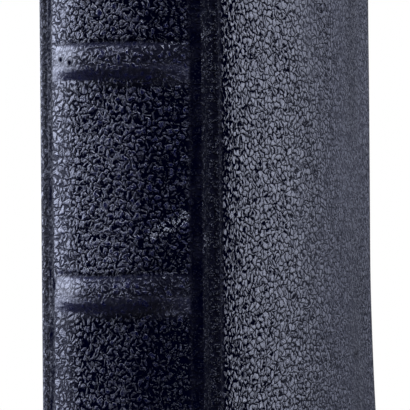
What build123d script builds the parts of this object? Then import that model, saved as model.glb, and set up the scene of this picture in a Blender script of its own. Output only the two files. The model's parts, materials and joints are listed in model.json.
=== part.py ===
from build123d import *
import math
import os

# A leather-bound book sewn on raised cords, closed and standing on its tail.
# Millimetres.  +Z runs from tail to head, the spine faces -Y and the front cover is on +X.
# The origin is the middle of the closed book's box, on the surface that it stands on.

# ---- Driving dimensions -------------------------------------------------------------------
# Covers
cover_height = 240.0
cover_width = 152.0  # over the leather, from a board's spine edge to its fore-edge
board_thickness = 2.6
leather_thickness = 0.8
turn_in_thickness = 0.4  # leather pared thin where it is folded onto a board's inner face
turn_in_width = 13.0
arris_radius = 1.2  # outer face of a cover, over the leather
inner_arris_radius = 0.6
joint_width = 4.0  # bare leather between the hinge line and a board's spine edge
joint_groove_radius = 0.6

# Text block
text_thickness = 23.6
square = 3.5  # how far the covers stand out past the leaves
shoulder_rise = 1.3  # how far the backed shoulders stand out past the flat sides
shoulder_length = 3.8
fore_edge_hollow = 4.5
spine_half_angle = 53.0  # of the rounded spine, from its crown to a shoulder

# Endpapers
flyleaf_thickness = 0.2
pastedown_thickness = 0.2

# Sewing cords and the bands that they raise
band_count = 5
band_pitch = 38.7
band_offset = 3.0  # of the middle band above the middle, which leaves the tail panel the deepest
cord_width = 3.0
cord_height = 2.1
cord_straight_side = 0.6
band_fade_angle = 41.0  # where a band has sunk level with the spine
fade_margin = 0.05  # how far the fading surface clears a band's crown
slip_width = 5.0
slip_length = 7.0
slip_thickness = 0.6
lacing_hole_diameter = 2.5

# Spine
lining_thickness = 0.3
lining_end_margin = 4.0  # from the head or tail of the leaves to a lining
lining_cord_gap = 0.5
headcap_width = 2.7  # leather folded in over each endband, measured from the spine's face

# Endbands, which are as tall as the squares leave room for under the headcaps
silk_thickness = 0.5
endband_half_angle = 47.0

# Named clearances
endpaper_gap = 0.2  # between a flyleaf and its pastedown
shoulder_clearance = 0.3  # between a shoulder and the joint leather
hinge_gap = 0.3  # between the spine leather and the joint leather
endband_clearance = 0.1  # between an endband's silk and the leather round it

# ---- Layers of a cover, outwards from the middle of the book --------------------------------
text_x = text_thickness / 2
flyleaf_x = text_x + flyleaf_thickness
pastedown_x = flyleaf_x + endpaper_gap
turn_in_x = pastedown_x + pastedown_thickness
board_x = turn_in_x + turn_in_thickness
board_face_x = board_x + board_thickness
cover_face_x = board_face_x + leather_thickness

# ---- Spine and hinge ------------------------------------------------------------------------
shoulder_x = text_x + shoulder_rise
joint_x = shoulder_x + shoulder_clearance
hinge_x = joint_x + leather_thickness
spine_angle = math.radians(spine_half_angle)
block_radius = shoulder_x / math.sin(spine_angle)
lining_radius = block_radius + lining_thickness
leather_radius = lining_radius + leather_thickness
cord_radius = block_radius + cord_height
band_radius = cord_radius + leather_thickness

spine_crown = band_radius - leather_radius * math.cos(spine_angle)
depth = spine_crown + joint_width + cover_width
hinge_y = spine_crown - depth / 2
spine_axis_y = hinge_y + leather_radius * math.cos(spine_angle)
board_edge_y = hinge_y + joint_width
fore_edge_y = board_edge_y + cover_width
shoulder_y = spine_axis_y - block_radius * math.cos(spine_angle)
side_y = shoulder_y + shoulder_length
leaf_fore_edge_y = fore_edge_y - square

# ---- Heights --------------------------------------------------------------------------------
leaf_tail_z = square
leaf_head_z = cover_height - square
leaf_height = leaf_head_z - leaf_tail_z
middle_z = cover_height / 2
lowest_band_z = middle_z + band_offset - band_pitch * (band_count - 1) / 2
band_heights = [lowest_band_z + band_pitch * number for number in range(band_count)]


def block_between(low, high):
    """A rectangular solid between two opposite corners."""
    size = [end - start for start, end in zip(low, high)]
    middle = [(start + end) / 2 for start, end in zip(low, high)]
    return Pos(*middle) * Box(*size)


def turned(outline, half_angle):
    """Turns an outline of (radius, height) about the spine's axis, as far to each side."""
    start = math.radians(-half_angle)
    plane = Plane(
        origin=(0, spine_axis_y, 0),
        x_dir=(math.sin(start), -math.cos(start), 0),
        z_dir=(-math.cos(start), -math.sin(start), 0),
    )
    axis = Axis((0, spine_axis_y, 0), (0, 0, 1))
    return revolve(plane * outline, axis, revolution_arc=2 * half_angle)


def rectangle_outline(radius, outer_radius, low_z, high_z):
    """A rectangular outline of (radius, height)."""
    middle = ((radius + outer_radius) / 2, (low_z + high_z) / 2)
    return Pos(*middle) * Rectangle(outer_radius - radius, high_z - low_z)


def ridge_outline(base_radius, straight_radius, half_width, height):
    """An outline with a flat base, short straight sides and a half-round crown."""
    low = (straight_radius, height - half_width)
    high = (straight_radius, height + half_width)
    crown = (straight_radius + half_width, height)
    base_low = (base_radius, height - half_width)
    base_high = (base_radius, height + half_width)
    edges = [
        Line(base_low, low),
        ThreePointArc(low, crown, high),
        Line(high, base_high),
        Line(base_high, base_low),
    ]
    return make_face(edges)


def behind_the_hinge():
    """The space in front of the hinge line, where the spine's covering stays."""
    reach = 2 * band_radius
    return block_between(
        (-reach, hinge_y - reach, -reach),
        (reach, hinge_y - hinge_gap, cover_height + reach),
    )


def fading_cylinder(inset):
    """An upright cylinder that meets a band at its crown and the spine's face where it fades."""
    crown = band_radius + fade_margin
    fade = math.cos(math.radians(band_fade_angle))
    offset = (crown**2 - leather_radius**2) / (2 * (crown - leather_radius * fade))
    return Pos(0, spine_axis_y - offset, middle_z) * Cylinder(crown - offset - inset, cover_height)


# ---- Block ----------------------------------------------------------------------------------
def text_block():
    """The sewn leaves, rounded and backed at the spine and hollow at the fore-edge."""
    left_shoulder = (-shoulder_x, shoulder_y)
    right_shoulder = (shoulder_x, shoulder_y)
    edges = [
        ThreePointArc(left_shoulder, (0, spine_axis_y - block_radius), right_shoulder),
        TangentArc((text_x, side_y), right_shoulder, tangent=(0, -1)),
        Line((text_x, side_y), (text_x, leaf_fore_edge_y)),
        ThreePointArc(
            (text_x, leaf_fore_edge_y),
            (0, leaf_fore_edge_y - fore_edge_hollow),
            (-text_x, leaf_fore_edge_y),
        ),
        Line((-text_x, leaf_fore_edge_y), (-text_x, side_y)),
        TangentArc((-text_x, side_y), left_shoulder, tangent=(0, -1)),
    ]
    return Pos(0, 0, leaf_tail_z) * extrude(make_face(edges), leaf_height, dir=(0, 0, 1))


def flyleaf():
    """The free endpaper on the front side."""
    return block_between(
        (text_x, side_y, leaf_tail_z),
        (flyleaf_x, leaf_fore_edge_y, leaf_head_z),
    )


def sewing_cord(height):
    """One raised cord, frayed flat under the leather on its way to the boards."""
    outline = ridge_outline(block_radius, block_radius + cord_straight_side, cord_width / 2, height)
    raised = turned(outline, spine_half_angle) & fading_cylinder(leather_thickness)
    flat = turned(
        rectangle_outline(
            block_radius, lining_radius, height - cord_width / 2, height + cord_width / 2
        ),
        spine_half_angle,
    )
    return (raised + flat) & behind_the_hinge()


def spine_linings():
    """Paper linings, one between each pair of cords and one at each end."""
    half_cord = cord_width / 2 + lining_cord_gap
    low_ends = [leaf_tail_z + lining_end_margin]
    low_ends += [height + half_cord for height in band_heights]
    high_ends = [height - half_cord for height in band_heights]
    high_ends += [leaf_head_z - lining_end_margin]
    return [
        turned(rectangle_outline(block_radius, lining_radius, low, high), spine_half_angle)
        & behind_the_hinge()
        for low, high in zip(low_ends, high_ends)
    ]


def spine_leather(cords):
    """The leather over the spine and bands, folded in at head and tail as headcaps."""
    inner_radius = leather_radius - headcap_width
    skin = turned(
        rectangle_outline(lining_radius, leather_radius, 0, cover_height), spine_half_angle
    )
    for low in (0, cover_height - leather_thickness):
        outline = rectangle_outline(inner_radius, leather_radius, low, low + leather_thickness)
        skin += turned(outline, spine_half_angle)
    fade = fading_cylinder(0)
    straight_radius = block_radius + cord_straight_side
    for height in band_heights:
        outline = ridge_outline(
            lining_radius, straight_radius, cord_width / 2 + leather_thickness, height
        )
        skin += turned(outline, spine_half_angle) & fade
    skin &= behind_the_hinge()
    for cord in cords:
        skin -= cord
    return skin


def endband(leaf_end_z, outwards):
    """An endband's core and its silk, on the leaves' head (outwards 1) or tail (-1)."""
    silk_radius = (square - leather_thickness - endband_clearance) / 2
    core_radius = silk_radius - silk_thickness
    centre_radius = lining_radius - endband_clearance - silk_radius
    centre_z = leaf_end_z + outwards * silk_radius
    core_outline = Pos(centre_radius, centre_z) * Circle(core_radius)
    foot = rectangle_outline(
        centre_radius - core_radius,
        centre_radius + core_radius,
        min(leaf_end_z, centre_z),
        max(leaf_end_z, centre_z),
    )
    silk_outline = Pos(centre_radius, centre_z) * Circle(silk_radius) + foot - core_outline
    return turned(core_outline, endband_half_angle), turned(silk_outline, endband_half_angle)


# ---- Cover ----------------------------------------------------------------------------------
def board_blank():
    """The front board before it is channelled for the cord slips."""
    blank = block_between(
        (board_x, board_edge_y + leather_thickness, leather_thickness),
        (board_face_x, fore_edge_y - leather_thickness, cover_height - leather_thickness),
    )
    face = blank.faces().sort_by(Axis.X)[-1]
    return fillet(face.edges(), arris_radius - leather_thickness)


def cord_slips(blank):
    """The cord ends laid in channels on the board's face and laced through it."""
    edge_y = board_edge_y + leather_thickness
    slips = []
    for height in band_heights:
        tongue = block_between(
            (board_face_x - slip_thickness, edge_y, height - slip_width / 2),
            (board_face_x, edge_y + slip_length, height + slip_width / 2),
        )
        middle_x = (board_x + board_face_x) / 2
        lacing = Pos(middle_x, edge_y + slip_length, height) * Rot(0, 90, 0)
        slip = tongue + lacing * Cylinder(lacing_hole_diameter / 2, board_thickness)
        slips.append(slip & blank)
    return slips


def infill():
    """The sheet that levels a board's inner face between the turned-in edges."""
    return block_between(
        (turn_in_x, board_edge_y + leather_thickness, turn_in_width),
        (board_x, fore_edge_y - turn_in_width, cover_height - turn_in_width),
    )


def pastedown():
    """The endpaper pasted down inside the front cover."""
    return block_between(
        (pastedown_x, board_edge_y + leather_thickness, leaf_tail_z),
        (turn_in_x, leaf_fore_edge_y, leaf_head_z),
    )


def cover_leather(blank, board_infill):
    """The leather round the front board, with the joint that reaches to the hinge line."""
    outside = block_between((turn_in_x, board_edge_y, 0), (cover_face_x, fore_edge_y, cover_height))
    outside = fillet(outside.faces().sort_by(Axis.X)[-1].edges(), arris_radius)
    outside = fillet(outside.faces().sort_by(Axis.X)[0].edges(), inner_arris_radius)
    open_inner_edge = block_between(
        (turn_in_x - 1, board_edge_y - 1, -1),
        (joint_x, board_edge_y + leather_thickness, cover_height + 1),
    )
    joint = block_between((joint_x, hinge_y, 0), (hinge_x, board_edge_y, cover_height))
    groove_search = leather_thickness / 2
    leather = outside - open_inner_edge - blank - board_infill + joint
    groove = [
        edge
        for edge in leather.edges().filter_by(Axis.Z)
        if math.hypot(edge.center().X - hinge_x, edge.center().Y - board_edge_y) < groove_search
    ]
    return fillet(groove, joint_groove_radius)


def front_cover():
    """Every piece of the front cover, by name."""
    blank = board_blank()
    slips = cord_slips(blank)
    board_infill = infill()
    board = blank
    for slip in slips:
        board -= slip
    return {
        "board": board,
        "cord_slips": Compound(slips),
        "leather": cover_leather(blank, board_infill),
        "infill": board_infill,
        "pastedown": pastedown(),
    }


# ---- Assembly -------------------------------------------------------------------------------
cords = [sewing_cord(height) for height in band_heights]
head_core, head_silk = endband(leaf_head_z, 1)
tail_core, tail_silk = endband(leaf_tail_z, -1)

nodes = {
    "text_block": text_block(),
    "front_flyleaf": flyleaf(),
    "back_flyleaf": mirror(flyleaf(), Plane.YZ),
    "spine_linings": Compound(spine_linings()),
    "spine_leather": spine_leather(cords),
    "head_endband_core": head_core,
    "head_endband_silk": head_silk,
    "tail_endband_core": tail_core,
    "tail_endband_silk": tail_silk,
}
for number, cord in enumerate(cords, start=1):
    nodes[f"sewing_cord_{number}"] = cord
for name, piece in front_cover().items():
    nodes[f"front_{name}"] = piece
    nodes[f"back_{name}"] = mirror(piece, Plane.YZ)

os.makedirs("parts", exist_ok=True)
for name, piece in nodes.items():
    export_step(piece, f"parts/{name}.step")

print(f"depth {depth:.2f}, hinge at x {hinge_x:.2f}, y {hinge_y:.2f}")
print(f"cover faces at x {cover_face_x:.2f}, bands at z {[round(z, 2) for z in band_heights]}")
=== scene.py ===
import json
import math

import bmesh
import bpy
import numpy as np
from mathutils import Matrix, Vector

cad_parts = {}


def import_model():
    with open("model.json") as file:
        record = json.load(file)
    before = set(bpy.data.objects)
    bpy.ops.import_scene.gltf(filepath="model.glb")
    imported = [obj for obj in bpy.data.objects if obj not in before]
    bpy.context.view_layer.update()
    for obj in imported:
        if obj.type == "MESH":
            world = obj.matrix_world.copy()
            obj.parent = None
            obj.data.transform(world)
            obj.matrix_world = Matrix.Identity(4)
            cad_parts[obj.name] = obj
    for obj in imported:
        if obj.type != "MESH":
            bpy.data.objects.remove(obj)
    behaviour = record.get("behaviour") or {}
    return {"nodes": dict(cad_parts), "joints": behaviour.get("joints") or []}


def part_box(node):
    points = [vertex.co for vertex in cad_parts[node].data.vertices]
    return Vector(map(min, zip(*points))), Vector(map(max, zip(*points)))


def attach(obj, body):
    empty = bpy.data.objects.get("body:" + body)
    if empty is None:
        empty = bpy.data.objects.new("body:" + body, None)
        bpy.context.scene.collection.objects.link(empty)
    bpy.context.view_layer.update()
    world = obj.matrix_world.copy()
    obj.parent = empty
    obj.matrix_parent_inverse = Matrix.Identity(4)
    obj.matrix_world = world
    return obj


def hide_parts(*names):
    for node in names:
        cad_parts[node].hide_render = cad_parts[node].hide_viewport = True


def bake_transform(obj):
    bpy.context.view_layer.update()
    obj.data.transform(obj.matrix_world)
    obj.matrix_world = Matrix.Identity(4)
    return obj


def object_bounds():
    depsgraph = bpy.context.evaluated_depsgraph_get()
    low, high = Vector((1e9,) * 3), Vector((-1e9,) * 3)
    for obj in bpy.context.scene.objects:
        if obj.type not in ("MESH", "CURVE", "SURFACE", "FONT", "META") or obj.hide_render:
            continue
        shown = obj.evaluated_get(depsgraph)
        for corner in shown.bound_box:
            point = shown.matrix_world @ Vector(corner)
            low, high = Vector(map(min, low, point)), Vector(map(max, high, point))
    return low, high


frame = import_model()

# A leather-bound book on five raised bands.  Everything is in metres, in the CAD frame:
# +Z from tail to head, the spine faces -Y, the front cover is on +X.

MM = 0.001
DEGREE = math.radians(1)
cad_low, cad_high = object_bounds()

# ---- Places read from the frame -------------------------------------------------------------
block_low, block_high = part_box("text_block")
lining_low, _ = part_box("spine_linings")
board_low, board_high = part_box("front_board")
leather_low, leather_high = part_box("front_leather")
pastedown_low, pastedown_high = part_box("front_pastedown")
flyleaf_low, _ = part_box("front_flyleaf")
hinge = next(Vector(j["pos_m"]) for j in frame["joints"] if j["child"] == "front_cover")

SPINE_HALF_ANGLE = math.radians(53)
HEIGHT = cad_high.z
COVER_FACE_X = cad_high.x
INNER_FACE_X = leather_low.x
LEATHER = COVER_FACE_X - board_high.x
BOARD_EDGE_Y = board_low.y - LEATHER
FORE_EDGE_Y = leather_high.y
BLOCK_RADIUS = block_high.x / math.sin(SPINE_HALF_ANGLE)
SPINE_Y = block_low.y + BLOCK_RADIUS
LINING_RADIUS = SPINE_Y - lining_low.y
SPINE_RADIUS = LINING_RADIUS + LEATHER
BAND_RISE = SPINE_Y - cad_low.y - SPINE_RADIUS
BAND_HEIGHTS = [sum(corner.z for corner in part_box(f"sewing_cord_{n}")) / 2 for n in range(1, 6)]
LOWER_BAND, UPPER_BAND = BAND_HEIGHTS[1:3]  # the two that the photo shows

# ---- Shapes that the leather takes ----------------------------------------------------------
SPINE_END_ANGLE = math.radians(51.9)
SPINE_COLUMNS = 117  # of points across the spine
BAND_UPPER = 2.4 * MM  # from a band's crest to the crease above it
BAND_LOWER = 4.2 * MM  # from a band's crest to the end of its foot
BAND_TOP = 1.8 * MM  # how far below its crest a band stays broad
BAND_FULL_ANGLE = math.radians(12)
BAND_GONE_ANGLE = math.radians(46)
BAND_SWAY = 0.15 * MM
CREASE_DEPTH = 0.22 * MM
JOINT_DIP = 0.6 * MM  # how far the spine's leather is pressed in beside the joint
JOINT_DIP_ANGLE = math.radians(41)
JOINT_FLAT_ANGLE = SPINE_END_ANGLE - 3 * DEGREE  # where it is pressed in all the way
SPINE_UNEVENNESS = 0.05 * MM
RIDGE_RISE = 0.13 * MM  # of the faint line below a band, where the grain begins again
RIDGE_DROP = BAND_LOWER + 1.2 * MM  # how far below a band's crest it is
FLANK_DRAW = 1.2  # how quickly the grain is drawn out from the spine's crown to its flanks
FLANK_ANGLE = math.radians(24)  # where that begins
COVER_ARRIS = 1.7 * MM
INNER_ARRIS = 0.6 * MM
INNER_ARRIS_POINTS = 5
END_ROUNDING = 1.3 * MM  # of a cover at head and tail
PEBBLE_RELIEF = 0.34 * MM
HEADCAP_ROUNDING = 1.2 * MM
HEADCAP_WIDTH = 2.7 * MM
JOINT_LEATHER = 0.4 * MM  # the leather is pared thin where it bends
BEND_START = -0.3 * MM  # of a cover's bending leather, from the hinge line
BEND_END = 1.7 * MM
END_REACH = 6 * MM  # how far from head and tail the leather sinks and is rubbed
SPINE_SINK = 1.0 * MM  # how far the ends of the pressed joints sink beside the headcaps
JOINT_SINK = 1.5 * MM  # how far the ends of the covers' bending leather sink next to them

# ---- Paper and silk -------------------------------------------------------------------------
PASTEDOWN_THICKNESS = 0.14 * MM
LEAF_THICKNESS = 0.2 * MM
LEAVES_PER_GATHERING = 8
FORE_EDGE_HOLLOW = 4.5 * MM
ENDBAND_HALF_ANGLE = math.radians(47)
TURNS_PER_COLOUR = 3
SILK_PITCH = 0.96  # of a turn of silk, in thread widths
SILK_STEPS = 18  # round the core
SILK_SIDES = 6  # of a thread


def smooth(value):
    """Rises gently from 0 to 1 as value does."""
    value = np.clip(value, 0, 1)
    return value * value * (3 - 2 * value)


def peak(offset, width):
    """1 where the offset is 0, and fading out over the width to each side."""
    return np.exp(-((offset / width) ** 2))


def past(value, start, length):
    """0 up to start, rising gently to 1 over the length that follows."""
    return smooth((value - start) / length)


def short_of(value, end, length):
    """1 well below end, and falling gently to 0 over the length before it."""
    return smooth((end - value) / length)


def towards_middle(z):
    """1 at the tail and -1 at the head, fading out along the height."""
    return short_of(z, END_REACH, END_REACH) - past(z, HEIGHT - END_REACH, END_REACH)


def ripple(across, along, wavelength, seed, waves=7):
    """Seeded, smooth unevenness of about -1 to 1, over lengths near the wavelength."""
    random = np.random.default_rng(seed)
    total = np.zeros(np.broadcast(across, along).shape)
    for _ in range(waves):
        angle, phase = random.uniform(0, 2 * math.pi, 2)
        length = wavelength * random.uniform(0.7, 1.6)
        distance = across * math.cos(angle) + along * math.sin(angle)
        total += np.sin(2 * math.pi * distance / length + phase)
    return total / math.sqrt(waves)


def mark(across, along, where, size):
    """One soft spot, 1 at its middle."""
    return peak(across - where[0], size[0]) * peak(along - where[1], size[1])


# ---- Meshes ---------------------------------------------------------------------------------
def finish_mesh(name, mesh, material):
    """Turns every face outwards and makes the piece."""
    work = bmesh.new()
    work.from_mesh(mesh)
    bmesh.ops.recalc_face_normals(work, faces=work.faces)
    work.to_mesh(mesh)
    work.free()
    mesh.materials.append(material)
    piece = bpy.data.objects.new(name, mesh)
    bpy.context.scene.collection.objects.link(piece)
    return piece


def thin_cap(places, ends, tip):
    """Triangles across a long thin outline, from its tip between its two sides."""
    count = len(ends)
    ahead, behind = tip, tip - 1
    faces = []

    def across(one, other):
        return math.dist(places[ends[one]], places[ends[other]])

    for _ in range(count - 2):
        further, back = (ahead + 1) % count, (behind - 1) % count
        if across(further, behind) < across(ahead, back):
            faces.append([ends[behind], ends[ahead], ends[further]])
            ahead = further
        else:
            faces.append([ends[behind], ends[ahead], ends[back]])
            behind = back
    return faces


def tube(name, points, material, grain=None, cap_grain=None, attributes=None, tip=None):
    """A closed solid: points[i, j] has i round an outline and j from one flat end to the other.

    grain[i, j] is the leather's own map in millimetres, with two more i than points: one to close on,
    and one that isn't needed, which only shifts the flat ends' map.
    attributes are values that fit points[i, j], or one value for all.
    tip is the i where a long thin outline turns round; without it, each end is one face.
    """
    rounds, stations = points.shape[:2]
    index = np.arange(rounds * stations).reshape(rounds, stations)
    after = np.roll(index, -1, axis=0)
    quads = np.stack([index[:, :-1], after[:, :-1], after[:, 1:], index[:, 1:]], axis=-1)
    quads = quads.reshape(-1, 4)
    places = points.reshape(-1, 3)
    ends = [index[:, 0].tolist(), index[:, -1].tolist()]
    if tip is not None:
        ends = [face for end in ends for face in thin_cap(places, end, tip)]
    mesh = bpy.data.meshes.new(name)
    mesh.from_pydata(places.tolist(), [], quads.tolist() + ends)
    mesh.polygons.foreach_set("use_smooth", [True] * len(quads) + [False] * len(ends))
    if grain is not None:
        corners = [grain[:-1, :-1], grain[1:, :-1], grain[1:, 1:], grain[:-1, 1:]]
        flat = [np.stack(corners, axis=2).reshape(-1, 2)]
        flat += [cap_grain(places[end]) for end in ends]
        layer = mesh.uv_layers.new(name="Grain")
        layer.data.foreach_set("uv", np.concatenate(flat).ravel())
    for key, values in (attributes or {}).items():
        made = mesh.attributes.new(key, "FLOAT", "POINT")
        spread = np.broadcast_to(values, (rounds, stations))
        made.data.foreach_set("value", np.ascontiguousarray(spread, np.float32).ravel())
    mesh.validate()
    return finish_mesh(name, mesh, material)


# ---- Nodes ----------------------------------------------------------------------------------
def add_node(tree, kind, inputs=None, **settings):
    """Adds a shader node; an input is a constant or another node's output."""
    made = tree.nodes.new("ShaderNode" + kind)
    for key, value in settings.items():
        setattr(made, key, value)
    for key, value in (inputs or {}).items():
        if isinstance(value, bpy.types.NodeSocket):
            tree.links.new(value, made.inputs[key])
        else:
            made.inputs[key].default_value = value
    return made


def maths(tree, operation, *values, clamp=False):
    """One Math node's output."""
    made = add_node(tree, "Math", dict(enumerate(values)), operation=operation, use_clamp=clamp)
    return made.outputs[0]


def vector_maths(tree, operation, *values):
    """One Vector Math node's output."""
    return add_node(tree, "VectorMath", dict(enumerate(values)), operation=operation).outputs[0]


def scaled(tree, vector, scale):
    """A vector times one number."""
    return add_node(tree, "VectorMath", {0: vector, "Scale": scale}, operation="SCALE").outputs[0]


def noise(tree, vector, scale, detail=2.0, roughness=0.5, output="Fac", dimensions="3D"):
    """One Noise Texture's output."""
    values = {"Vector": vector, "Scale": scale, "Detail": detail, "Roughness": roughness}
    return add_node(tree, "TexNoise", values, noise_dimensions=dimensions).outputs[output]


def ranged(tree, value, low, high, to_low=0.0, to_high=1.0, curve="SMOOTHSTEP"):
    """Maps a value from one range to another, and stops at its ends."""
    values = {"Value": value, "From Min": low, "From Max": high, "To Min": to_low, "To Max": to_high}
    return add_node(tree, "MapRange", values, interpolation_type=curve).outputs["Result"]


def mixed(tree, factor, first, second, kind="FLOAT"):
    """Goes from first to second as factor goes from 0 to 1."""
    made = add_node(tree, "Mix", data_type=kind)
    sockets = [s for s in made.inputs if s.enabled]
    for socket, value in zip(sockets, (factor, first, second)):
        if isinstance(value, bpy.types.NodeSocket):
            tree.links.new(value, socket)
        else:
            socket.default_value = value
    return next(s for s in made.outputs if s.enabled)


def new_material(name):
    """A material with only a Principled shader; returns the material, its tree and the shader."""
    material = bpy.data.materials.new(name)
    material.use_nodes = True
    tree = material.node_tree
    tree.nodes.clear()
    shader = add_node(tree, "BsdfPrincipled")
    output = add_node(tree, "OutputMaterial")
    tree.links.new(shader.outputs["BSDF"], output.inputs["Surface"])
    return material, tree, shader


def attribute(tree, name):
    """A value stored at the mesh's points."""
    return add_node(tree, "Attribute", attribute_name=name).outputs["Fac"]


def domes(tree, vector, scale, reach):
    """Rounded cells, 1 on top and 0 in the gaps between them."""
    values = {"Vector": vector, "Scale": scale, "Randomness": 1.0}
    edge = add_node(tree, "TexVoronoi", values, voronoi_dimensions="2D", feature="DISTANCE_TO_EDGE")
    gap = ranged(tree, edge.outputs["Distance"], 0.0, reach, 1.0, 0.0, "LINEAR")
    return maths(tree, "SUBTRACT", 1.0, maths(tree, "MULTIPLY", gap, gap))


def leather_lumps(tree, place):
    """The grain's pebbles, about a millimetre across, run together into worms where it isn't plated."""
    wander = noise(tree, place, 0.7, detail=2, output="Color", dimensions="2D")
    wander = scaled(tree, vector_maths(tree, "SUBTRACT", wander, (0.5, 0.5, 0.5)), 1.7)
    drawn = vector_maths(tree, "MULTIPLY", vector_maths(tree, "ADD", place, wander), (1.16, 0.9, 1.0))
    pebble = domes(tree, drawn, 0.95, 0.45)
    small = domes(tree, vector_maths(tree, "ADD", drawn, (7.3, 2.1, 0.0)), 2.3, 0.4)
    worm = noise(tree, drawn, 1.25, detail=1, roughness=0.4, dimensions="2D")
    worm = maths(tree, "SUBTRACT", worm, 0.5)
    worm_share = maths(tree, "MULTIPLY_ADD", attribute(tree, "plated"), -1.1, 2.0)
    lumps = maths(tree, "ADD", maths(tree, "MULTIPLY", worm, worm_share), pebble)
    return maths(tree, "MULTIPLY_ADD", small, 0.25, lumps)


def leather_height(tree, place, lumps, fine, flat):
    """The relief: lumps, or only fine wrinkles where the leather is rubbed flat."""
    stretched = vector_maths(tree, "MULTIPLY", place, (1.6, 0.9, 1.0))
    wrinkle = noise(tree, stretched, 1.3, detail=3, dimensions="2D")
    grained = ranged(tree, lumps, -0.05, 1.5, 0.0, 1.0, "SMOOTHERSTEP")
    grained = maths(tree, "MULTIPLY_ADD", fine, 0.12, grained)
    flattened = maths(tree, "MULTIPLY_ADD", wrinkle, 0.35, maths(tree, "MULTIPLY", fine, 0.2))
    flattened = maths(tree, "MULTIPLY_ADD", grained, 0.16, flattened)
    return mixed(tree, flat, grained, flattened)


def leather_crease(tree, lumps, flat, mottle, matte):
    """1 in the creases between lumps, and partly in the dull blotches of rubbed leather."""
    # sparse is painted shade: it turns more of each lump into dark crease, on the spine's side turned
    # from the light and on the covers beside their joints.
    lit = maths(tree, "SUBTRACT", lumps, attribute(tree, "sparse"))
    crease = ranged(tree, lit, 0.35, 0.85, 1.0, 0.0)
    crease = maths(tree, "MULTIPLY", crease, maths(tree, "MULTIPLY_ADD", flat, -0.75, 1.0))
    blotch = maths(tree, "MULTIPLY", ranged(tree, mottle, 0.45, 0.7, 0.0, 0.5), matte)
    return maths(tree, "MAXIMUM", crease, blotch)


def leather_colour(tree, place, lumps, fine, rubbed, scuffs, shade):
    """Clouded navy: greyer where rubbed, partly a painted highlight on the spine's left crests; brown
    where scuffed; near black with painted shade in creases and shaded places; pale where chipped.
    """
    cloud = noise(tree, place, 0.06, detail=3, dimensions="2D")
    colour = mixed(tree, cloud, (0.0006, 0.0014, 0.026, 1), (0.0016, 0.0026, 0.038, 1), kind="RGBA")
    colour = mixed(tree, rubbed, colour, (0.075, 0.075, 0.09, 1), kind="RGBA")
    colour = mixed(tree, scuffs, colour, (0.016, 0.0148, 0.0135, 1), kind="RGBA")
    # Painted shade: near-black navy in the creases and the shaded places.
    colour = mixed(tree, shade, colour, (0.0001, 0.0004, 0.006, 1), kind="RGBA")
    chips = attribute(tree, "chipped")
    flakes = ranged(tree, maths(tree, "MULTIPLY_ADD", chips, 0.03, fine), 0.56, 0.66)
    chipped = maths(tree, "MULTIPLY", chips, flakes)
    on_lumps = ranged(tree, lumps, 0.5, 0.9)
    chipped = maths(tree, "MULTIPLY", chipped, on_lumps, clamp=True)
    return mixed(tree, chipped, colour, (0.36, 0.38, 0.44, 1), kind="RGBA")


def leather_roughness(tree, mottle, lumps, rubbed, scuffs, matte, crease):
    """Smoothest on top of the lumps, and rougher where rubbed, scuffed, dull or creased."""
    rough = ranged(tree, mottle, 0.3, 0.7, 0.28, 0.36, "LINEAR")
    rough = maths(tree, "SUBTRACT", rough, ranged(tree, lumps, 0.9, 1.6, 0.0, 0.15))
    for share, value in ((rubbed, 0.5), (scuffs, 0.7), (matte, 0.5), (crease, 0.8)):
        rough = mixed(tree, share, rough, value)
    return rough


def leather_material():
    """Dark navy goatskin: domed pebbles about a millimetre across, rubbed flat on bands and edges, with
    painted shade in its creases and a painted highlight on the spine's left crests.
    """
    material, tree, shader = new_material("grained_leather")
    place = add_node(tree, "UVMap", uv_map="Grain").outputs["UV"]
    flat = attribute(tree, "flatten")
    matte = attribute(tree, "matte")
    # rubbed is real wear at edges and ends, and a painted highlight on the spine's left crests and on
    # the line below each band.
    rubbed = maths(tree, "MULTIPLY", attribute(tree, "wear_and_highlight"), 0.7)
    speckle = ranged(tree, noise(tree, place, 1.6, detail=3, dimensions="2D"), 0.35, 0.65, 0.1, 1.0)
    scuffs = maths(tree, "MULTIPLY", attribute(tree, "scuffed"), speckle)
    fine = noise(tree, place, 5.0, detail=3, roughness=0.6, dimensions="2D")
    mottle = noise(tree, place, 0.45, detail=3, dimensions="2D")
    lumps = leather_lumps(tree, place)
    crease = leather_crease(tree, lumps, flat, mottle, matte)
    # Painted shade: the creases between lumps and the dark attribute turn the colour near black and take
    # gloss away. The dark attribute is mostly painted shade, with real dark pits, a smudge and the back
    # cover's darker tone.
    shade = maths(tree, "MAXIMUM", crease, attribute(tree, "dark"))

    colour = leather_colour(tree, place, lumps, fine, rubbed, scuffs, shade)
    rough = leather_roughness(tree, mottle, lumps, rubbed, scuffs, matte, crease)
    gloss = maths(tree, "MULTIPLY_ADD", scuffs, -0.7, 1.0)
    gloss = maths(tree, "MULTIPLY", gloss, maths(tree, "SUBTRACT", 1.0, shade, clamp=True))
    height = leather_height(tree, place, lumps, fine, flat)
    bump = add_node(tree, "Bump", {"Height": height, "Strength": 1.0, "Distance": PEBBLE_RELIEF})
    tree.links.new(colour, shader.inputs["Base Color"])
    tree.links.new(rough, shader.inputs["Roughness"])
    tree.links.new(gloss, shader.inputs["Specular IOR Level"])
    tree.links.new(bump.outputs["Normal"], shader.inputs["Normal"])
    shader.inputs["IOR"].default_value = 1.5
    return material


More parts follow.
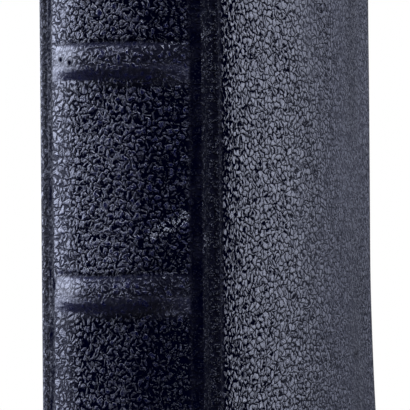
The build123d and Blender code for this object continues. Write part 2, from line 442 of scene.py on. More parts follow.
def paper_material(name, colour, tone=0.2, leaf_gap_shade=0.0):
    """Aged rag paper: fibres, uneven toning, faint foxing and, on a block, painted shade between the
    edges of its leaves.
    """
    material, tree, shader = new_material(name)
    place = add_node(tree, "TexCoord").outputs["Object"]
    toned = noise(tree, place, 35, detail=4)
    spots = ranged(tree, noise(tree, place, 260, detail=2), 0.70, 0.78)
    dark = [channel * (1 - tone) * share for channel, share in zip(colour, (0.95, 0.88, 0.75))]
    base = mixed(tree, toned, (*colour, 1), (*dark, 1), kind="RGBA")
    # Painted shade: thin dark lines between leaves and between gatherings.
    if leaf_gap_shade:
        across = vector_maths(tree, "MULTIPLY", place, (1.0, 0.012, 0.012))
        gathers = ranged(tree, noise(tree, across, 800, detail=0), 0.35, 0.65, 0.0, 0.5)
        single = ranged(tree, noise(tree, across, 4200, detail=1), 0.4, 0.7, 0.0, 0.8)
        shade = maths(tree, "MULTIPLY", maths(tree, "MAXIMUM", gathers, single), leaf_gap_shade)
        base = mixed(tree, shade, base, (*[channel * 0.45 for channel in dark], 1), kind="RGBA")
    base = mixed(tree, maths(tree, "MULTIPLY", spots, 0.35), base, (0.25, 0.13, 0.05, 1), kind="RGBA")
    tree.links.new(base, shader.inputs["Base Color"])
    shader.inputs["Roughness"].default_value = 0.85
    fibre = noise(tree, place, 2500, detail=3)
    bump = add_node(tree, "Bump", {"Height": fibre, "Strength": 0.4, "Distance": 0.05 * MM})
    tree.links.new(bump.outputs["Normal"], shader.inputs["Normal"])
    return material


def thread_material(name, colour, roughness):
    """Twisted thread: fine slanting strands."""
    material, tree, shader = new_material(name)
    place = add_node(tree, "TexCoord").outputs["Object"]
    strands = noise(tree, vector_maths(tree, "MULTIPLY", place, (1.0, 1.0, 0.35)), 6000, detail=2)
    dark = [channel * 0.45 for channel in colour]
    twisted = mixed(tree, strands, (*dark, 1), (*colour, 1), kind="RGBA")
    tree.links.new(twisted, shader.inputs["Base Color"])
    shader.inputs["Roughness"].default_value = roughness
    bump = add_node(tree, "Bump", {"Height": strands, "Strength": 0.5, "Distance": 0.05 * MM})
    tree.links.new(bump.outputs["Normal"], shader.inputs["Normal"])
    return material


# ---- Spine ----------------------------------------------------------------------------------
def band_share(angle):
    """How much of its full rise a band has at an angle from the spine's crown."""
    return 1 - past(np.abs(angle), BAND_FULL_ANGLE, BAND_GONE_ANGLE - BAND_FULL_ANGLE)


def band_profile(offset):
    """A band's rise as a share, by height over its crest: blunt above, with a long foot below."""
    bluntness, slope = 0.6, 0.1
    above = (1 - np.clip(offset / BAND_UPPER, 0, 1) ** 2) ** bluntness
    foot = np.clip((-offset - BAND_TOP) / (BAND_LOWER - BAND_TOP), 0, 1)
    below = (1 + np.cos(math.pi * foot)) / 2
    below = below - slope * np.clip(-offset / BAND_TOP, 0, 1) ** 2 * below
    return np.where(offset > 0, above, below)


def away_from_joint(angle):
    """1 over the spine, falling to 0 beside its joints."""
    return short_of(np.abs(angle), 43 * DEGREE, 6 * DEGREE)


def on_left(angle):
    """1 on the back cover's side of the spine, which is rubbed the most and where the light falls; the
    lighter colour of its crests is partly painted highlight.
    """
    return past(-angle, 14 * DEGREE, 12 * DEGREE) * away_from_joint(angle)


def spine_radius(angle, z):
    """The radius of the spine's outer face."""
    radius = SPINE_RADIUS + np.zeros(np.broadcast(angle, z).shape)
    share = band_share(angle)
    for number, height in enumerate(BAND_HEIGHTS):
        sway = BAND_SWAY * ripple(angle * SPINE_RADIUS, 0 * z, 22 * MM, 40 + number)
        offset = z - height - sway
        radius += BAND_RISE * share * band_profile(offset)
        upper_crease = CREASE_DEPTH * peak(offset - BAND_UPPER, 0.4 * MM)
        lower_crease = 0.5 * CREASE_DEPTH * peak(offset + BAND_LOWER, 0.8 * MM)
        radius -= (upper_crease + lower_crease) * away_from_joint(angle)
        radius += RIDGE_RISE * peak(offset + RIDGE_DROP, 0.3 * MM) * on_left(angle)
    radius -= JOINT_DIP * past(np.abs(angle), JOINT_DIP_ANGLE, JOINT_FLAT_ANGLE - JOINT_DIP_ANGLE)
    radius += SPINE_UNEVENNESS * ripple(angle * SPINE_RADIUS, z, 16 * MM, 3)
    return radius


def spine_heights():
    """Heights for the spine's outer face, close together on the bands."""
    coarse, fine, margin = 1.1 * MM, 0.22 * MM, 1 * MM
    heights = [HEADCAP_ROUNDING]
    while heights[-1] < HEIGHT - HEADCAP_ROUNDING:
        offsets = [heights[-1] - band for band in BAND_HEIGHTS]
        near = any(-BAND_LOWER - margin < offset < BAND_UPPER + margin for offset in offsets)
        heights.append(heights[-1] + (fine if near else coarse))
    heights[-1] = HEIGHT - HEADCAP_ROUNDING
    return np.array(heights)


def headcap_section():
    """The folded-in headcap, from the outer face's end to the inner wall: (depth inwards, height up)."""
    quarter = np.linspace(0, math.pi / 2, 7)[1:]
    half = np.linspace(-math.pi / 2, math.pi / 2, 7)
    tip = LEATHER / 2
    tip_depth = HEADCAP_WIDTH - tip
    tip_height = HEADCAP_ROUNDING - tip
    rounding = [(HEADCAP_ROUNDING * (1 - math.cos(a)), HEADCAP_ROUNDING * math.sin(a)) for a in quarter]
    fold = [(tip_depth + tip * math.cos(a), tip_height - tip * math.sin(a)) for a in half]
    under = [(depth, HEADCAP_ROUNDING - LEATHER) for depth in (2.0 * MM, 1.3 * MM, LEATHER)]
    return np.array(rounding + fold + under)


def spine_section(angle):
    """Radius and height of the spine's leather, from the tail's headcap round to the inner wall.

    Also says where its outer face starts and stops.
    """
    cap = headcap_section()
    outer_z = spine_heights()
    inner_z = outer_z[::-3]
    outer = spine_radius(angle, outer_z[:, None])
    inner = spine_radius(angle, inner_z[:, None]) - LEATHER
    inner = np.maximum(inner, LINING_RADIUS + 0.01 * MM)
    head = outer[-1][None, :] - cap[:, :1]
    tail = outer[0][None, :] - cap[::-1, :1]
    radius = np.concatenate([tail, outer, head, inner])
    radius = np.maximum(radius, SPINE_RADIUS - HEADCAP_WIDTH - 1 * MM)
    z = np.concatenate([outer_z[0] - cap[::-1, 1], outer_z, outer_z[-1] + cap[:, 1], inner_z])
    return radius, z, len(cap), len(cap) + len(outer_z)


def spine_grain(angles, radius, z, start, stop):
    """The grain's map: length round the spine, and length along the leather from the tail."""
    crown = np.stack([radius[:, len(angles) // 2], z], axis=-1)
    steps = np.linalg.norm(np.diff(crown, axis=0, append=crown[:1]), axis=1)
    along = np.concatenate([[0], np.cumsum(steps)])
    along[:start] += z[start] - along[start]
    along[start:stop] = z[start:stop]
    along[stop:] += z[stop - 1] - along[stop] + steps[stop - 1]
    drawn = np.clip(np.abs(angles) - FLANK_ANGLE, 0, None) ** 2
    turned = angles - 0.5 * np.sign(angles) * FLANK_DRAW * drawn
    grain = np.stack(np.broadcast_arrays(SPINE_RADIUS * turned / MM, along[:, None] / MM), axis=-1)
    return np.concatenate([grain, grain[:1]])


def band_wear_and_painted_light(angle, z, flatten):
    """Flat undersides, crests rubbed bright on the left, partly a painted highlight where the light
    falls, and a dark line of painted shade in the crease above.
    """
    left = on_left(angle)
    wear_and_highlight = dark = 0 * flatten
    for height in BAND_HEIGHTS:
        offset = z - height
        zone = past(offset, -BAND_LOWER - 0.6 * MM, 1.4 * MM)
        zone = zone * short_of(offset, BAND_UPPER + 0.3 * MM, 0.9 * MM)
        underside = past(-offset, 0.8 * MM, 1.2 * MM)
        rubbed = 0.2 + 0.62 * left + (0.65 - 0.32 * left) * underside
        flatten = np.maximum(flatten, zone * rubbed)
        # Painted highlight: the crests and the line below each band get the lighter rubbed colour only
        # on the lit left side.
        crest = peak(offset + 0.2 * MM, 1.5 * MM) * left
        ridge = peak(offset + RIDGE_DROP, 0.35 * MM) * left
        wear_and_highlight = np.maximum(wear_and_highlight, np.maximum(crest, 0.8 * ridge))
        # Painted shade: a dark line in the crease above each band, wider to the right.
        width = 0.35 * MM + 0.35 * MM * past(angle, -15 * DEGREE, 10 * DEGREE)
        crease = peak(offset - BAND_UPPER + 0.15 * MM, width) * away_from_joint(angle)
        dark = np.maximum(dark, 0.75 * crease)
    return flatten, wear_and_highlight, dark


def spine_pits(angle, z):
    """Dark pits: one in the left joint, and two just below the upper band's crest."""
    total = 0
    for turn, height, width, tall in (
        (-43.5, LOWER_BAND + 0.8 * MM, 2.5, 1.3 * MM),
        (-32, UPPER_BAND - 0.3 * MM, 1.7, 0.42 * MM),
        (-24, UPPER_BAND - 0.9 * MM, 1.7, 0.42 * MM),
    ):
        pit = mark(angle, z, (turn * DEGREE, height), (width * DEGREE, tall))
        total = np.maximum(total, np.clip(2.5 * pit, 0, 1))
    return total


def spine_scratch(angle, z):
    """A line of light chips that climbs to the right across the panel over the lower band."""
    climb = 3.3 * MM * (angle - 18.7 * DEGREE) / (23 * DEGREE)
    within = past(angle, 16 * DEGREE, 4 * DEGREE) * short_of(angle, 43 * DEGREE, 4 * DEGREE)
    return peak(z - LOWER_BAND - 8.9 * MM - climb, 0.7 * MM) * within


def spine_wear_and_painted_light(angle, z):
    """The leather's attributes on the spine, which hold what the photo shows of its wear and shade."""
    flatten = 0.35 * past(-angle, 22 * DEGREE, 10 * DEGREE) + 0 * z
    flatten, wear_and_highlight, dark = band_wear_and_painted_light(angle, z, flatten)
    ends = short_of(np.minimum(z, HEIGHT - z), END_REACH, END_REACH)
    wear_and_highlight = np.maximum(wear_and_highlight, 0.5 * ends)
    flank = past(np.abs(angle), 40 * DEGREE, 5 * DEGREE) * (0.25 + 0.75 * (angle < 0))
    flatten = np.maximum(np.maximum(flatten, 0.6 * ends), 0.8 * flank)

    # Painted shade: beside both joints the leather is darkened almost to black (pressed times hold),
    # where the joints lie in shade. Below the lower band it is made a little darker (low). The pits are
    # real dark marks.
    pressed = past(np.abs(angle), 40 * DEGREE, 3.5 * DEGREE)
    hold = 0.94 + 0.03 * (angle > 0) + 0.05 * ripple(angle * SPINE_RADIUS, z, 5 * MM, 8)
    below = LOWER_BAND + 1 * MM - z
    low = past(below, 0, 5 * MM) * short_of(below, LOWER_BAND + 14 * MM, 30 * MM)
    for shade in (pressed * hold, 0.3 * low, spine_pits(angle, z)):
        dark = np.maximum(dark, shade)

    chipped = 0.2 * past(angle, 15 * DEGREE, 15 * DEGREE) + 0.1
    chipped = chipped * (1 - 0.8 * pressed) + 3 * spine_scratch(angle, z)
    return {
        "flatten": flatten,
        "wear_and_highlight": wear_and_highlight,
        "scuffed": flank,
        "matte": 0.0,
        "dark": np.clip(dark, 0, 1),
        "plated": 0.55 * past(-angle, 4 * DEGREE, 16 * DEGREE),
        "chipped": chipped,
        # Painted shade on the side of the spine turned from the light; also a little darker below the
        # lower band.
        "sparse": 0.48 * past(angle, 4 * DEGREE, 28 * DEGREE) + 0.2 * low,
    }


def spine_leather(material):
    """The leather over the bands, closed behind, with its headcaps folded in at both ends."""
    angles = np.linspace(-SPINE_END_ANGLE, SPINE_END_ANGLE, SPINE_COLUMNS)
    angle = angles[None, :]
    radius, z, start, stop = spine_section(angle)
    upright = z[:, None]
    # The ends of the pressed joints sink, so that they don't stand up beside the headcaps.
    sunk = SPINE_SINK * past(np.abs(angle), 44.5 * DEGREE, 7 * DEGREE)
    points = np.stack([
        radius * np.sin(angle),
        SPINE_Y - radius * np.cos(angle),
        upright + sunk * towards_middle(upright),
    ], axis=-1)
    grain = spine_grain(angles, radius, z, start, stop)
    folded_tip = 6  # the middle of the tail headcap's fold, in the section's points
    wear = spine_wear_and_painted_light(angle, upright)
    piece = tube("spine_skin", points, material, grain, lambda at: at[:, :2] / MM, wear, tip=folded_tip)
    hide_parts("spine_leather")
    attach(piece, "block")


# ---- Covers ---------------------------------------------------------------------------------
def arc(centre, radius, start, stop, count):
    """Points on an arc in the XY plane, from start to stop degrees."""
    turn = np.radians(np.linspace(start, stop, count))
    return np.stack([centre[0] + radius * np.cos(turn), centre[1] + radius * np.sin(turn)], axis=-1)


def line(start, stop, count):
    """Points from start to stop, with neither end."""
    share = np.linspace(0, 1, count + 2)[1:-1, None]
    return np.array(start) * (1 - share) + np.array(stop) * share


def smooth_path(points, per_span):
    """A Catmull-Rom curve through a few points."""
    points = np.array(points)
    padded = np.concatenate([2 * points[:1] - points[1:2], points, 2 * points[-1:] - points[-2:-1]])
    t = np.linspace(0, 1, per_span, endpoint=False)[:, None]
    out = []
    for a, b, c, d in zip(padded, padded[1:], padded[2:], padded[3:]):
        square = (2 * a - 5 * b + 4 * c - d) * t**2
        cube = (3 * b - a - 3 * c + d) * t**3
        out.append(0.5 * (2 * b + (c - a) * t + square + cube))
    return np.concatenate(out + [points[-1:]])


def cover_outline():
    """The front cover's section in plan, and how many of its points are the outer side."""
    y = hinge.y
    bottom_x = block_high.x + 0.05 * MM + JOINT_LEATHER
    joint = smooth_path([
        (bottom_x - 0.6 * MM, y - 0.1 * MM),
        (bottom_x - 0.2 * MM, y + 0.45 * MM),
        (bottom_x + 0.05 * MM, y + 1.4 * MM),
        (bottom_x + 0.1 * MM, y + 2.5 * MM),
        (bottom_x + 0.3 * MM, y + 3.4 * MM),
        (bottom_x + 0.75 * MM, BOARD_EDGE_Y - 0.12 * MM),
        (COVER_FACE_X - COVER_ARRIS, BOARD_EDGE_Y),
    ], 6)[:-1]
    spine_arris = arc((COVER_FACE_X - COVER_ARRIS, BOARD_EDGE_Y + COVER_ARRIS), COVER_ARRIS, -90, 0, 9)
    face = line(spine_arris[-1], (COVER_FACE_X, FORE_EDGE_Y - COVER_ARRIS), 84)
    fore_arris = arc((COVER_FACE_X - COVER_ARRIS, FORE_EDGE_Y - COVER_ARRIS), COVER_ARRIS, 0, 90, 8)
    edge = line(fore_arris[-1], (INNER_FACE_X + INNER_ARRIS, FORE_EDGE_Y), 2)
    inner_centre = (INNER_FACE_X + INNER_ARRIS, FORE_EDGE_Y - INNER_ARRIS)
    inner_arris = arc(inner_centre, INNER_ARRIS, 90, 180, INNER_ARRIS_POINTS)
    inner_face = line(inner_arris[-1], (INNER_FACE_X, BOARD_EDGE_Y + 1.2 * MM), 40)
    inner_joint = smooth_path([
        (INNER_FACE_X, BOARD_EDGE_Y + 1.2 * MM),
        (INNER_FACE_X + 0.3 * MM, BOARD_EDGE_Y + 0.4 * MM),
        (block_high.x + 0.02 * MM, y + 3.0 * MM),
        (block_high.x + 0.06 * MM, y + 1.5 * MM),
        (block_high.x + 0.02 * MM, y + 0.6 * MM),
        (bottom_x - 0.66 * MM, y - 0.02 * MM),
    ], 5)
    outer = np.concatenate([joint, spine_arris, face, fore_arris, edge, inner_arris])
    return np.concatenate([outer, inner_face, inner_joint]), len(outer)


def outward(outline):
    """Unit normals in plan, pointing out of a closed outline that runs anticlockwise."""
    along = np.roll(outline, -1, axis=0) - np.roll(outline, 1, axis=0)
    normal = np.stack([along[:, 1], -along[:, 0]], axis=-1)
    return normal / np.linalg.norm(normal, axis=1, keepdims=True)


def across_cover(y):
    """0 at a board's spine edge and 1 at the fore-edge."""
    return (y - BOARD_EDGE_Y) / (FORE_EDGE_Y - BOARD_EDGE_Y)


def board_warp(y, z, side):
    """How far a cover stands out from flat: old boards bow, and a bumped tail corner splays."""
    reach = np.clip(across_cover(y), 0, 1)
    bow = 0.10 * MM * ripple(y, z, 90 * MM, 11 + side) * past(reach, 0, 0.12)
    splay = (2.6 if side > 0 else 0.8) * MM
    return bow + splay * past(reach, 0.6, 0.5) * short_of(z, 90 * MM, 90 * MM)


def face_wear(y, z, side):
    """Small hollows and swellings of a cover's outer face, strongest near its fore-edge."""
    back = FORE_EDGE_Y - y
    hollow = -0.07 * MM * peak(back - 13 * MM, 5 * MM)
    uneven = 0.025 * MM * ripple(y, z, 24 * MM, 21 + side)
    fall = (-0.6 if side > 0 else -0.1) * MM * np.exp(-(y - BOARD_EDGE_Y) / (6 * MM))
    return (hollow + uneven) * past(y, BOARD_EDGE_Y, 8 * MM) * past(back, 0, 3 * MM) + fall


def cover_heights():
    """Heights up a cover, and how far its outline is drawn in at each to round head and tail."""
    turn = np.linspace(0, math.pi / 2, 6)
    end_z = END_ROUNDING * (1 - np.sin(turn))[::-1]
    end_inset = END_ROUNDING * (1 - np.cos(turn))[::-1]
    middle_z = np.linspace(END_ROUNDING, HEIGHT - END_ROUNDING, 150)[1:-1]
    z = np.concatenate([end_z, middle_z, HEIGHT - end_z[::-1]])
    inset = np.concatenate([end_inset, 0 * middle_z, end_inset[::-1]])
    return z, inset


def cover_shape(side, outline, outer_count):
    """A cover's points, their heights before the joint's ends sink, and where its outer face is."""
    z, inset = cover_heights()
    normal = outward(outline)
    # Only the board's part is rounded at head and tail: the thin joint keeps its full section.
    thick = past(outline[:, 1:], hinge.y + 2.5 * MM, 2.5 * MM)
    inner = np.arange(len(outline)) >= outer_count - INNER_ARRIS_POINTS
    share = (0.12 + 0.88 * thick) * np.where(inner, 0.42, 1)[:, None]
    x = outline[:, :1] - normal[:, :1] * inset * share
    y = outline[:, 1:] - normal[:, 1:] * inset * share
    is_face = past(x, COVER_FACE_X - 1 * MM, 0.9 * MM)
    x = x + board_warp(y, z, side) + face_wear(y, z, side) * is_face
    height = z + JOINT_SINK * (1 - thick) * towards_middle(z)
    return np.stack([side * x, y, height], axis=-1), z, is_face


def cover_grain(side, outline, z):
    """The grain's map: length round a cover, drawn out across the front one, and height."""
    steps = np.linalg.norm(np.diff(outline, axis=0, append=outline[:1]), axis=1)
    draw = 0.9
    if side > 0:
        from_hinge = outline[:, 1] - hinge.y
        draw = 0.28 + 0.42 * (1 - past(from_hinge, 3 * MM, 30 * MM)) ** 2
        draw = draw + 0.3 * past(from_hinge, 80 * MM, 60 * MM)
    length = np.concatenate([[0], np.cumsum(steps * draw)]) + SPINE_RADIUS * SPINE_END_ANGLE
    grain = np.stack(np.broadcast_arrays(side * length[:, None] / MM, z / MM), axis=-1)
    return np.concatenate([grain, grain[:1]])


def fore_edge_shade_and_smudge(y, z):
    """Dark on the front cover near its fore-edge: two soft upright bands of painted shade, and a smudge.
    """
    back = FORE_EDGE_Y - y
    uneven = np.clip(0.8 + 0.4 * ripple(y, z, 60 * MM, 51), 0.3, 1)
    sway = 5 * MM * ripple(y, z, 70 * MM, 52)
    broad = 0.6 * uneven * peak(back - 21 * MM - sway, 13 * MM)
    narrow = 0.3 * uneven * peak(back - 72 * MM, 7 * MM)
    smudge = mark(y, z, (FORE_EDGE_Y - 22 * MM, LOWER_BAND - 17.8 * MM), (4 * MM, 1.7 * MM))
    return np.maximum(np.maximum(broad, narrow), np.clip(1.3 * smudge, 0, 0.98))


def cover_wear_and_painted_shade(side, y, z, is_face):
    """The leather's attributes on a cover: the front one has the shade and marks of the photo."""
    front = side > 0
    reach = across_cover(y)
    beyond = y - BOARD_EDGE_Y
    back = FORE_EDGE_Y - y
    edge = np.minimum(np.minimum(z, HEIGHT - z), back)
    joint = short_of(y, BOARD_EDGE_Y + (1.6 if front else 3.2) * MM, 1.2 * MM)

    flatten = (0.4 if front else 0.62) * past(reach, 0.25, 0.6)
    flatten += 0.12 * ripple(y, z, 30 * MM, 31 + side) * past(reach, 0.2, 0.3)
    near_edge = short_of(edge, 5 * MM, 5 * MM)
    flatten = np.clip(np.maximum(flatten, 0.75 * near_edge), 0, 1)
    flatten = np.maximum(flatten, (0.3 if front else 0.95) * joint)

    if front:
        # Painted shade: the front cover darkens towards its joint, where shade falls.
        dark = 0.6 * np.exp(-np.clip(beyond, 0, None) / (7 * MM)) + 0.3 * joint
        dark = np.maximum(dark, fore_edge_shade_and_smudge(y, z))
    else:
        dark = 0.1 + 0.36 * past(beyond, 3 * MM, 10 * MM)
        flatten = flatten * 0.6
    # Painted shade: a dark line along each cover's face at its fore-edge arris, where the surface turns
    # away.
    rim = past(-back, -3.2 * MM, 1 * MM) * is_face
    dark = np.maximum(dark, (0.97 if front else 0.45) * rim)

    chipped = 0.35 * joint
    for height in (7.5, 37.5, 42.5):
        where = (hinge.y + 1.5 * MM, LOWER_BAND + height * MM)
        chipped = chipped + 1.5 * front * mark(y, z, where, (1.5 * MM, 0.8 * MM))
    plated = -0.4 + 1.4 * past(beyond, 2 * MM, 22 * MM) - 0.9 * front * past(reach, 0.6, 0.3)
    return {
        "flatten": flatten,
        "wear_and_highlight": 0.8 * short_of(edge, 2.5 * MM, 2.5 * MM),
        "scuffed": (0.1 if front else 0.75) * joint,
        "matte": (0.9 if front else 0.45) * past(reach, 0.25, 0.5),
        "dark": dark,
        "plated": plated,
        "chipped": chipped,
        # Painted shade on each cover beside its joint.
        "sparse": 0.5 * np.exp(-np.clip(beyond - 2 * MM, 0, None) / (8 * MM)),
    }


def bend_ends(side):
    """Two places by a cover's hinge, BEND_START and BEND_END from it in Y; the covers and pastedowns
    work them out, but nothing uses them.
    """
    start = (side * hinge.x, hinge.y + BEND_START, 0)
    end = (side * hinge.x, hinge.y + BEND_END, 0)
    return start, end


def cover(side, name, body, material):
    """One cover's leather, from its joint at the spine round the board; side is 1 or -1 in X."""
    outline, outer_count = cover_outline()
    points, z, is_face = cover_shape(side, outline, outer_count)

    def cap_grain(at):
        fold = np.where(at[:, 2] > HEIGHT / 2, 1, -1) * (COVER_FACE_X - np.abs(at[:, 0]))
        return np.stack([side * (at[:, 1] - hinge.y + SPINE_RADIUS), at[:, 2] + fold], axis=-1) / MM

    wear = cover_wear_and_painted_shade(side, points[:, :, 1], z, is_face)
    piece = tube(name, points, material, cover_grain(side, outline, z), cap_grain, wear, tip=0)
    prefix = body.split("_")[0]
    start, end = bend_ends(side)
    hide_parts(f"{prefix}_leather", f"{prefix}_board", f"{prefix}_infill")
    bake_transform(piece)
    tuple(start)
    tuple(end)


def pastedown(side, name, body, material):
    """The endpaper pasted inside a cover, which runs over the joint to the shoulder."""
    y = hinge.y
    flat_x = INNER_FACE_X - 0.05 * MM
    bend = smooth_path([
        (block_high.x - 0.14 * MM, y + 0.08 * MM),
        (block_high.x - 0.02 * MM, y + 0.75 * MM),
        (block_high.x - 0.06 * MM, y + 1.6 * MM),
        (block_high.x - 0.1 * MM, y + 3.0 * MM),
        (INNER_FACE_X + 0.25 * MM, BOARD_EDGE_Y + 0.2 * MM),
        (flat_x, BOARD_EDGE_Y + 1.3 * MM),
    ], 6)
    far = (flat_x, pastedown_high.y)
    front = np.concatenate([bend, line(bend[-1], far, 30), [far]])
    outline = np.concatenate([front, (front - (PASTEDOWN_THICKNESS, 0))[::-1]])
    z = np.linspace(pastedown_low.z, pastedown_high.z, 60)
    x = outline[:, :1] + board_warp(outline[:, 1:], z, side)
    points = np.stack(np.broadcast_arrays(side * x, outline[:, 1:], z), axis=-1)
    piece = tube(name, points, material)
    start, end = bend_ends(side)
    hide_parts(f"{body.split('_')[0]}_pastedown")
    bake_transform(piece)
    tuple(start)
    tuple(end)


# ---- Leaves ---------------------------------------------------------------------------------
def spine_fold_y(x):
    """Where the rounded back of the leaves is."""
    return SPINE_Y - np.sqrt(BLOCK_RADIUS**2 - x**2)


def leaf_loop(x, near_y, far_y, dent, shift):
    """One leaf's outline, round from its spine fold past tail, fore-edge and head."""
    head = block_high.z - dent + shift
    tail = block_low.z + dent - shift
    ys = np.linspace(near_y, far_y, 26)
    zs = np.linspace(tail, head, 26)
    low = [(x, y, tail) for y in ys]
    far = [(x, far_y, z) for z in zs[1:-1]]
    high = [(x, y, head) for y in ys[::-1]]
    near = [(x, near_y, z) for z in zs[::-6][1:-1]]
    return low + far + high + near


def leaf_stations(half_width):
    """Across the block: each place, how far a leaf's edge falls back there, and its leaf's own step."""
    count = round(2 * half_width / LEAF_THICKNESS)
    random = np.random.default_rng(5)
    gatherings = random.uniform(-1, 1, count // LEAVES_PER_GATHERING + 2)
    gather = np.repeat(gatherings, LEAVES_PER_GATHERING)[:count]
    uneven = 0.07 * MM * gather + 0.04 * MM * random.uniform(-1, 1, count)
    shares = np.array([0.08, 0.3, 0.7, 0.92])
    depths = np.array([0.10, 0.0, 0.0, 0.10]) * MM
    left = -half_width + np.arange(count) * LEAF_THICKNESS
    places = (left[:, None] + shares * LEAF_THICKNESS).ravel()
    places[0], places[-1] = -half_width, half_width
    return places, np.tile(depths, count), np.repeat(uneven, len(shares))


def leaves(material):
    """The text block, with the edge of every leaf, and its flared shoulders at both sides."""
    text_x = flyleaf_low.x
    stations, depths, steps = leaf_stations(text_x)
    fore = block_high.y - FORE_EDGE_HOLLOW * (1 - (stations / text_x) ** 2) + steps - depths
    loops = [leaf_loop(*values) for values in zip(stations, spine_fold_y(stations), fore, depths, steps)]

    shoulder_y = SPINE_Y - BLOCK_RADIUS * math.cos(SPINE_HALF_ANGLE)
    shoulder = np.linspace(block_high.x, text_x + 0.02 * MM, 6)
    rise = (shoulder - text_x) / (block_high.x - text_x)
    flare = flyleaf_low.y - (flyleaf_low.y - shoulder_y) * np.sqrt(rise)
    flare = np.maximum(flare, spine_fold_y(shoulder) + 0.02 * MM)
    pairs = list(zip(shoulder, flare))
    back = [leaf_loop(-x, spine_fold_y(x), far_y, 0, 0) for x, far_y in pairs]
    front = [leaf_loop(x, spine_fold_y(x), far_y, 0, 0) for x, far_y in pairs[::-1]]
    points = np.array(back + loops + front).transpose(1, 0, 2)
    piece = tube("leaves", points, material)
    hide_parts("text_block")
    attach(piece, "block")


# ---- Endbands -------------------------------------------------------------------------------
def silk_turn(work, angle, centre_r, centre_z, outer, thread):
    """Adds one turn of thread round the core, leaning a little."""
    rings = []
    for step in range(SILK_STEPS):
        around = 2 * math.pi * step / SILK_STEPS
        lean = angle + 0.25 * thread / centre_r * math.sin(around)
        ring = []
        for side in range(SILK_SIDES):
            twist = 2 * math.pi * side / SILK_SIDES
            reach = outer - thread + thread * math.cos(twist)
            r = centre_r + reach * math.cos(around)
            z = centre_z + reach * math.sin(around)
            turn = lean + thread * math.sin(twist) / centre_r
            ring.append(work.verts.new((r * math.sin(turn), SPINE_Y - r * math.cos(turn), z)))
        rings.append(ring)
    for here, there in zip(rings, rings[1:] + rings[:1]):
        for side in range(SILK_SIDES):
            other = (side + 1) % SILK_SIDES
            face = work.faces.new((here[side], there[side], there[other], here[other]))
            face.smooth = True


def endband(which, colours):
    """Silk wound round an endband's core, in turns of two colours."""
    low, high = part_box(f"{which}_endband_silk")
    core_low, core_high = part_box(f"{which}_endband_core")
    outer = (high.z - low.z) / 2
    thread = (outer - (core_high.z - core_low.z) / 2) / 2
    centre_z = (low.z + high.z) / 2
    centre_r = SPINE_Y - (low.y + outer)
    turns = int(2 * ENDBAND_HALF_ANGLE * centre_r / (2 * thread * SILK_PITCH))
    for group, (colour_name, material) in enumerate(colours):
        work = bmesh.new()
        for number in range(turns):
            if (number // TURNS_PER_COLOUR) % len(colours) == group:
                angle = -ENDBAND_HALF_ANGLE + (number + 0.5) * 2 * ENDBAND_HALF_ANGLE / turns
                silk_turn(work, angle, centre_r, centre_z, outer, thread)
        mesh = bpy.data.meshes.new(f"{which}_silk_{colour_name}")
        work.to_mesh(mesh)
        work.free()
        piece = finish_mesh(mesh.name, mesh, material)
        if group == 0:
            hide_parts(f"{which}_endband_silk")
        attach(piece, "block")


# ---- Build ----------------------------------------------------------------------------------
leather = leather_material()
leaf_paper = paper_material("leaf_paper", (0.60, 0.50, 0.34), leaf_gap_shade=0.8)
endpaper = paper_material("endpaper", (0.56, 0.48, 0.34), tone=0.14)
lining = paper_material("lining_paper", (0.45, 0.36, 0.24), tone=0.3)
hemp = thread_material("hemp_cord", (0.42, 0.33, 0.20), 0.85)
silk_dark = thread_material("silk_navy", (0.02, 0.025, 0.07), 0.4)
silk_pale = thread_material("silk_cream", (0.55, 0.45, 0.28), 0.4)

spine_leather(leather)
for side, body in ((1, "front_cover"), (-1, "back_cover")):
    prefix = body.split("_")[0]
    cover(side, f"{prefix}_cover_skin", body, leather)
    pastedown(side, f"{prefix}_pastedown_sheet", body, endpaper)
leaves(leaf_paper)
for which in ("head", "tail"):
    endband(which, [("navy", silk_dark), ("cream", silk_pale)])

for node, piece in frame["nodes"].items():
    if piece.hide_render:
        continue
    if node.endswith("flyleaf"):
        kind = endpaper
    elif node == "spine_linings":
        kind = lining
    else:
        kind = hemp
    piece.data.materials.clear()
    piece.data.materials.append(kind)


# ---- Studio ---------------------------------------------------------------------------------
FLOOR_RADIUS = 0.8
FLOOR_FADES_FROM, FLOOR_FADES_TO = 0.35, 0.78
POWER_PER_RADIANCE = 4  # and per square metre of a light
CAMERA_AZIMUTH = math.radians(12.5)
CAMERA_ROLL = math.radians(-0.5)
CAMERA_DISTANCE = 500 * MM
FRAME_WIDTH = 68.0 * MM  # what the picture spans at the target's distance
TARGET_RISE = 13.9 * MM  # over the lower band that the photo shows
TARGET_SHIFT = 14.97 * MM  # to the right of the spine's crown
COOL = (0.76, 0.81, 1.0)
LIGHTS = (
    # name, azimuth, elevation, distance, width, height, radiance, colour
    ("left_window", -94, 22, 1.3, 2.0, 1.5, 4.8, (0.73, 0.79, 1.0)),
    ("back_left", -155, 15, 1.7, 1.0, 1.6, 1.0, COOL),
    ("back_right", 161, 15, 1.7, 1.0, 1.6, 1.02, COOL),
    ("top", 20, 80, 1.2, 0.7, 0.7, 1.2, (1, 1, 1)),
    ("right_fill", 122, 12, 1.5, 0.8, 1.6, 0.25, COOL),
    ("glint", 62, 50, 1.3, 0.3, 0.3, 42.0, COOL),
)


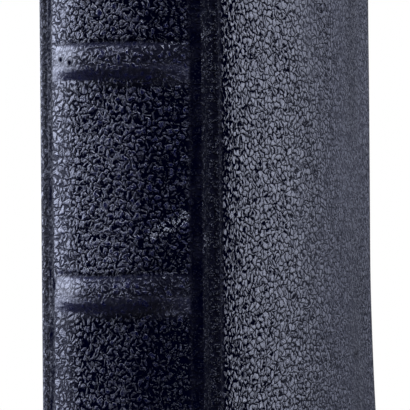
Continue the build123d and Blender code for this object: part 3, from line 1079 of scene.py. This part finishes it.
def floor():
    """A plain pale floor that fades out round its rim."""
    material, tree, shader = new_material("floor")
    place = add_node(tree, "TexCoord").outputs["Object"]
    tone = noise(tree, place, 6, detail=3)
    colour = mixed(tree, tone, (0.88, 0.83, 0.72, 1), (0.91, 0.86, 0.75, 1), kind="RGBA")
    tree.links.new(colour, shader.inputs["Base Color"])
    distance = add_node(tree, "VectorMath", {0: place}, operation="LENGTH").outputs["Value"]
    fade = ranged(tree, distance, FLOOR_FADES_FROM, FLOOR_FADES_TO, 1.0, 0.0)
    tree.links.new(fade, shader.inputs["Alpha"])
    shader.inputs["Roughness"].default_value = 0.9
    bpy.ops.mesh.primitive_circle_add(vertices=96, radius=FLOOR_RADIUS, fill_type="NGON")
    disc = bpy.context.object
    disc.name = "floor"
    disc.data.materials.append(material)
    disc.visible_glossy = False


def softbox(name, azimuth, elevation, distance, width, tall, radiance, colour):
    """An area light facing the book; azimuth 0 is before the spine, 90 on the front cover's side."""
    light = bpy.data.lights.new(name, "AREA")
    light.shape = "RECTANGLE"
    light.size = width
    light.size_y = tall
    light.energy = radiance * POWER_PER_RADIANCE * width * tall
    light.color = colour
    lamp = bpy.data.objects.new(name, light)
    a, e = math.radians(azimuth), math.radians(elevation)
    middle = Vector((0, 0, HEIGHT / 2))
    away = Vector((math.sin(a) * math.cos(e), -math.cos(a) * math.cos(e), math.sin(e)))
    lamp.location = middle + away * distance
    lamp.rotation_mode = "QUATERNION"
    lamp.rotation_quaternion = away.to_track_quat("Z", "Y")
    lamp.visible_camera = False
    bpy.context.scene.collection.objects.link(lamp)


def world(seen, light):
    """White where the camera looks past the book, and dim as a light on it."""
    made = bpy.data.worlds.new("studio")
    made.use_nodes = True
    tree = made.node_tree
    tree.nodes.clear()
    path = add_node(tree, "LightPath")
    dim = add_node(tree, "Background", {"Color": (*light, 1), "Strength": 1.0})
    bright = add_node(tree, "Background", {"Color": (*seen, 1), "Strength": 1.0})
    both = add_node(tree, "MixShader", {0: path.outputs["Is Camera Ray"]})
    tree.links.new(dim.outputs[0], both.inputs[1])
    tree.links.new(bright.outputs[0], both.inputs[2])
    output = add_node(tree, "OutputWorld")
    tree.links.new(both.outputs[0], output.inputs["Surface"])
    bpy.context.scene.world = made


def camera():
    """Looks at the spine between its two bands in the photo, from the front cover's side."""
    right = Vector((math.cos(CAMERA_AZIMUTH), math.sin(CAMERA_AZIMUTH), 0))
    ahead = Vector((-math.sin(CAMERA_AZIMUTH), math.cos(CAMERA_AZIMUTH), 0))
    crown = Vector((0, SPINE_Y - SPINE_RADIUS, LOWER_BAND + TARGET_RISE))
    target = crown + right * TARGET_SHIFT
    data = bpy.data.cameras.new("camera")
    data.sensor_width = 36
    data.lens = data.sensor_width * CAMERA_DISTANCE / FRAME_WIDTH
    data.clip_start = 0.01
    made = bpy.data.objects.new("camera", data)
    made.location = target - ahead * CAMERA_DISTANCE
    made.rotation_mode = "QUATERNION"
    turn = ahead.to_track_quat("-Z", "Y")
    roll = Matrix.Rotation(CAMERA_ROLL, 3, "Z").to_quaternion()
    made.rotation_quaternion = turn @ roll
    bpy.context.scene.collection.objects.link(made)
    bpy.context.scene.camera = made


floor()
for light in LIGHTS:
    softbox(*light)
world(seen=(1.0, 1.0, 1.0), light=(0.006, 0.0065, 0.009))
camera()
bpy.context.scene.view_settings.view_transform = "Standard"
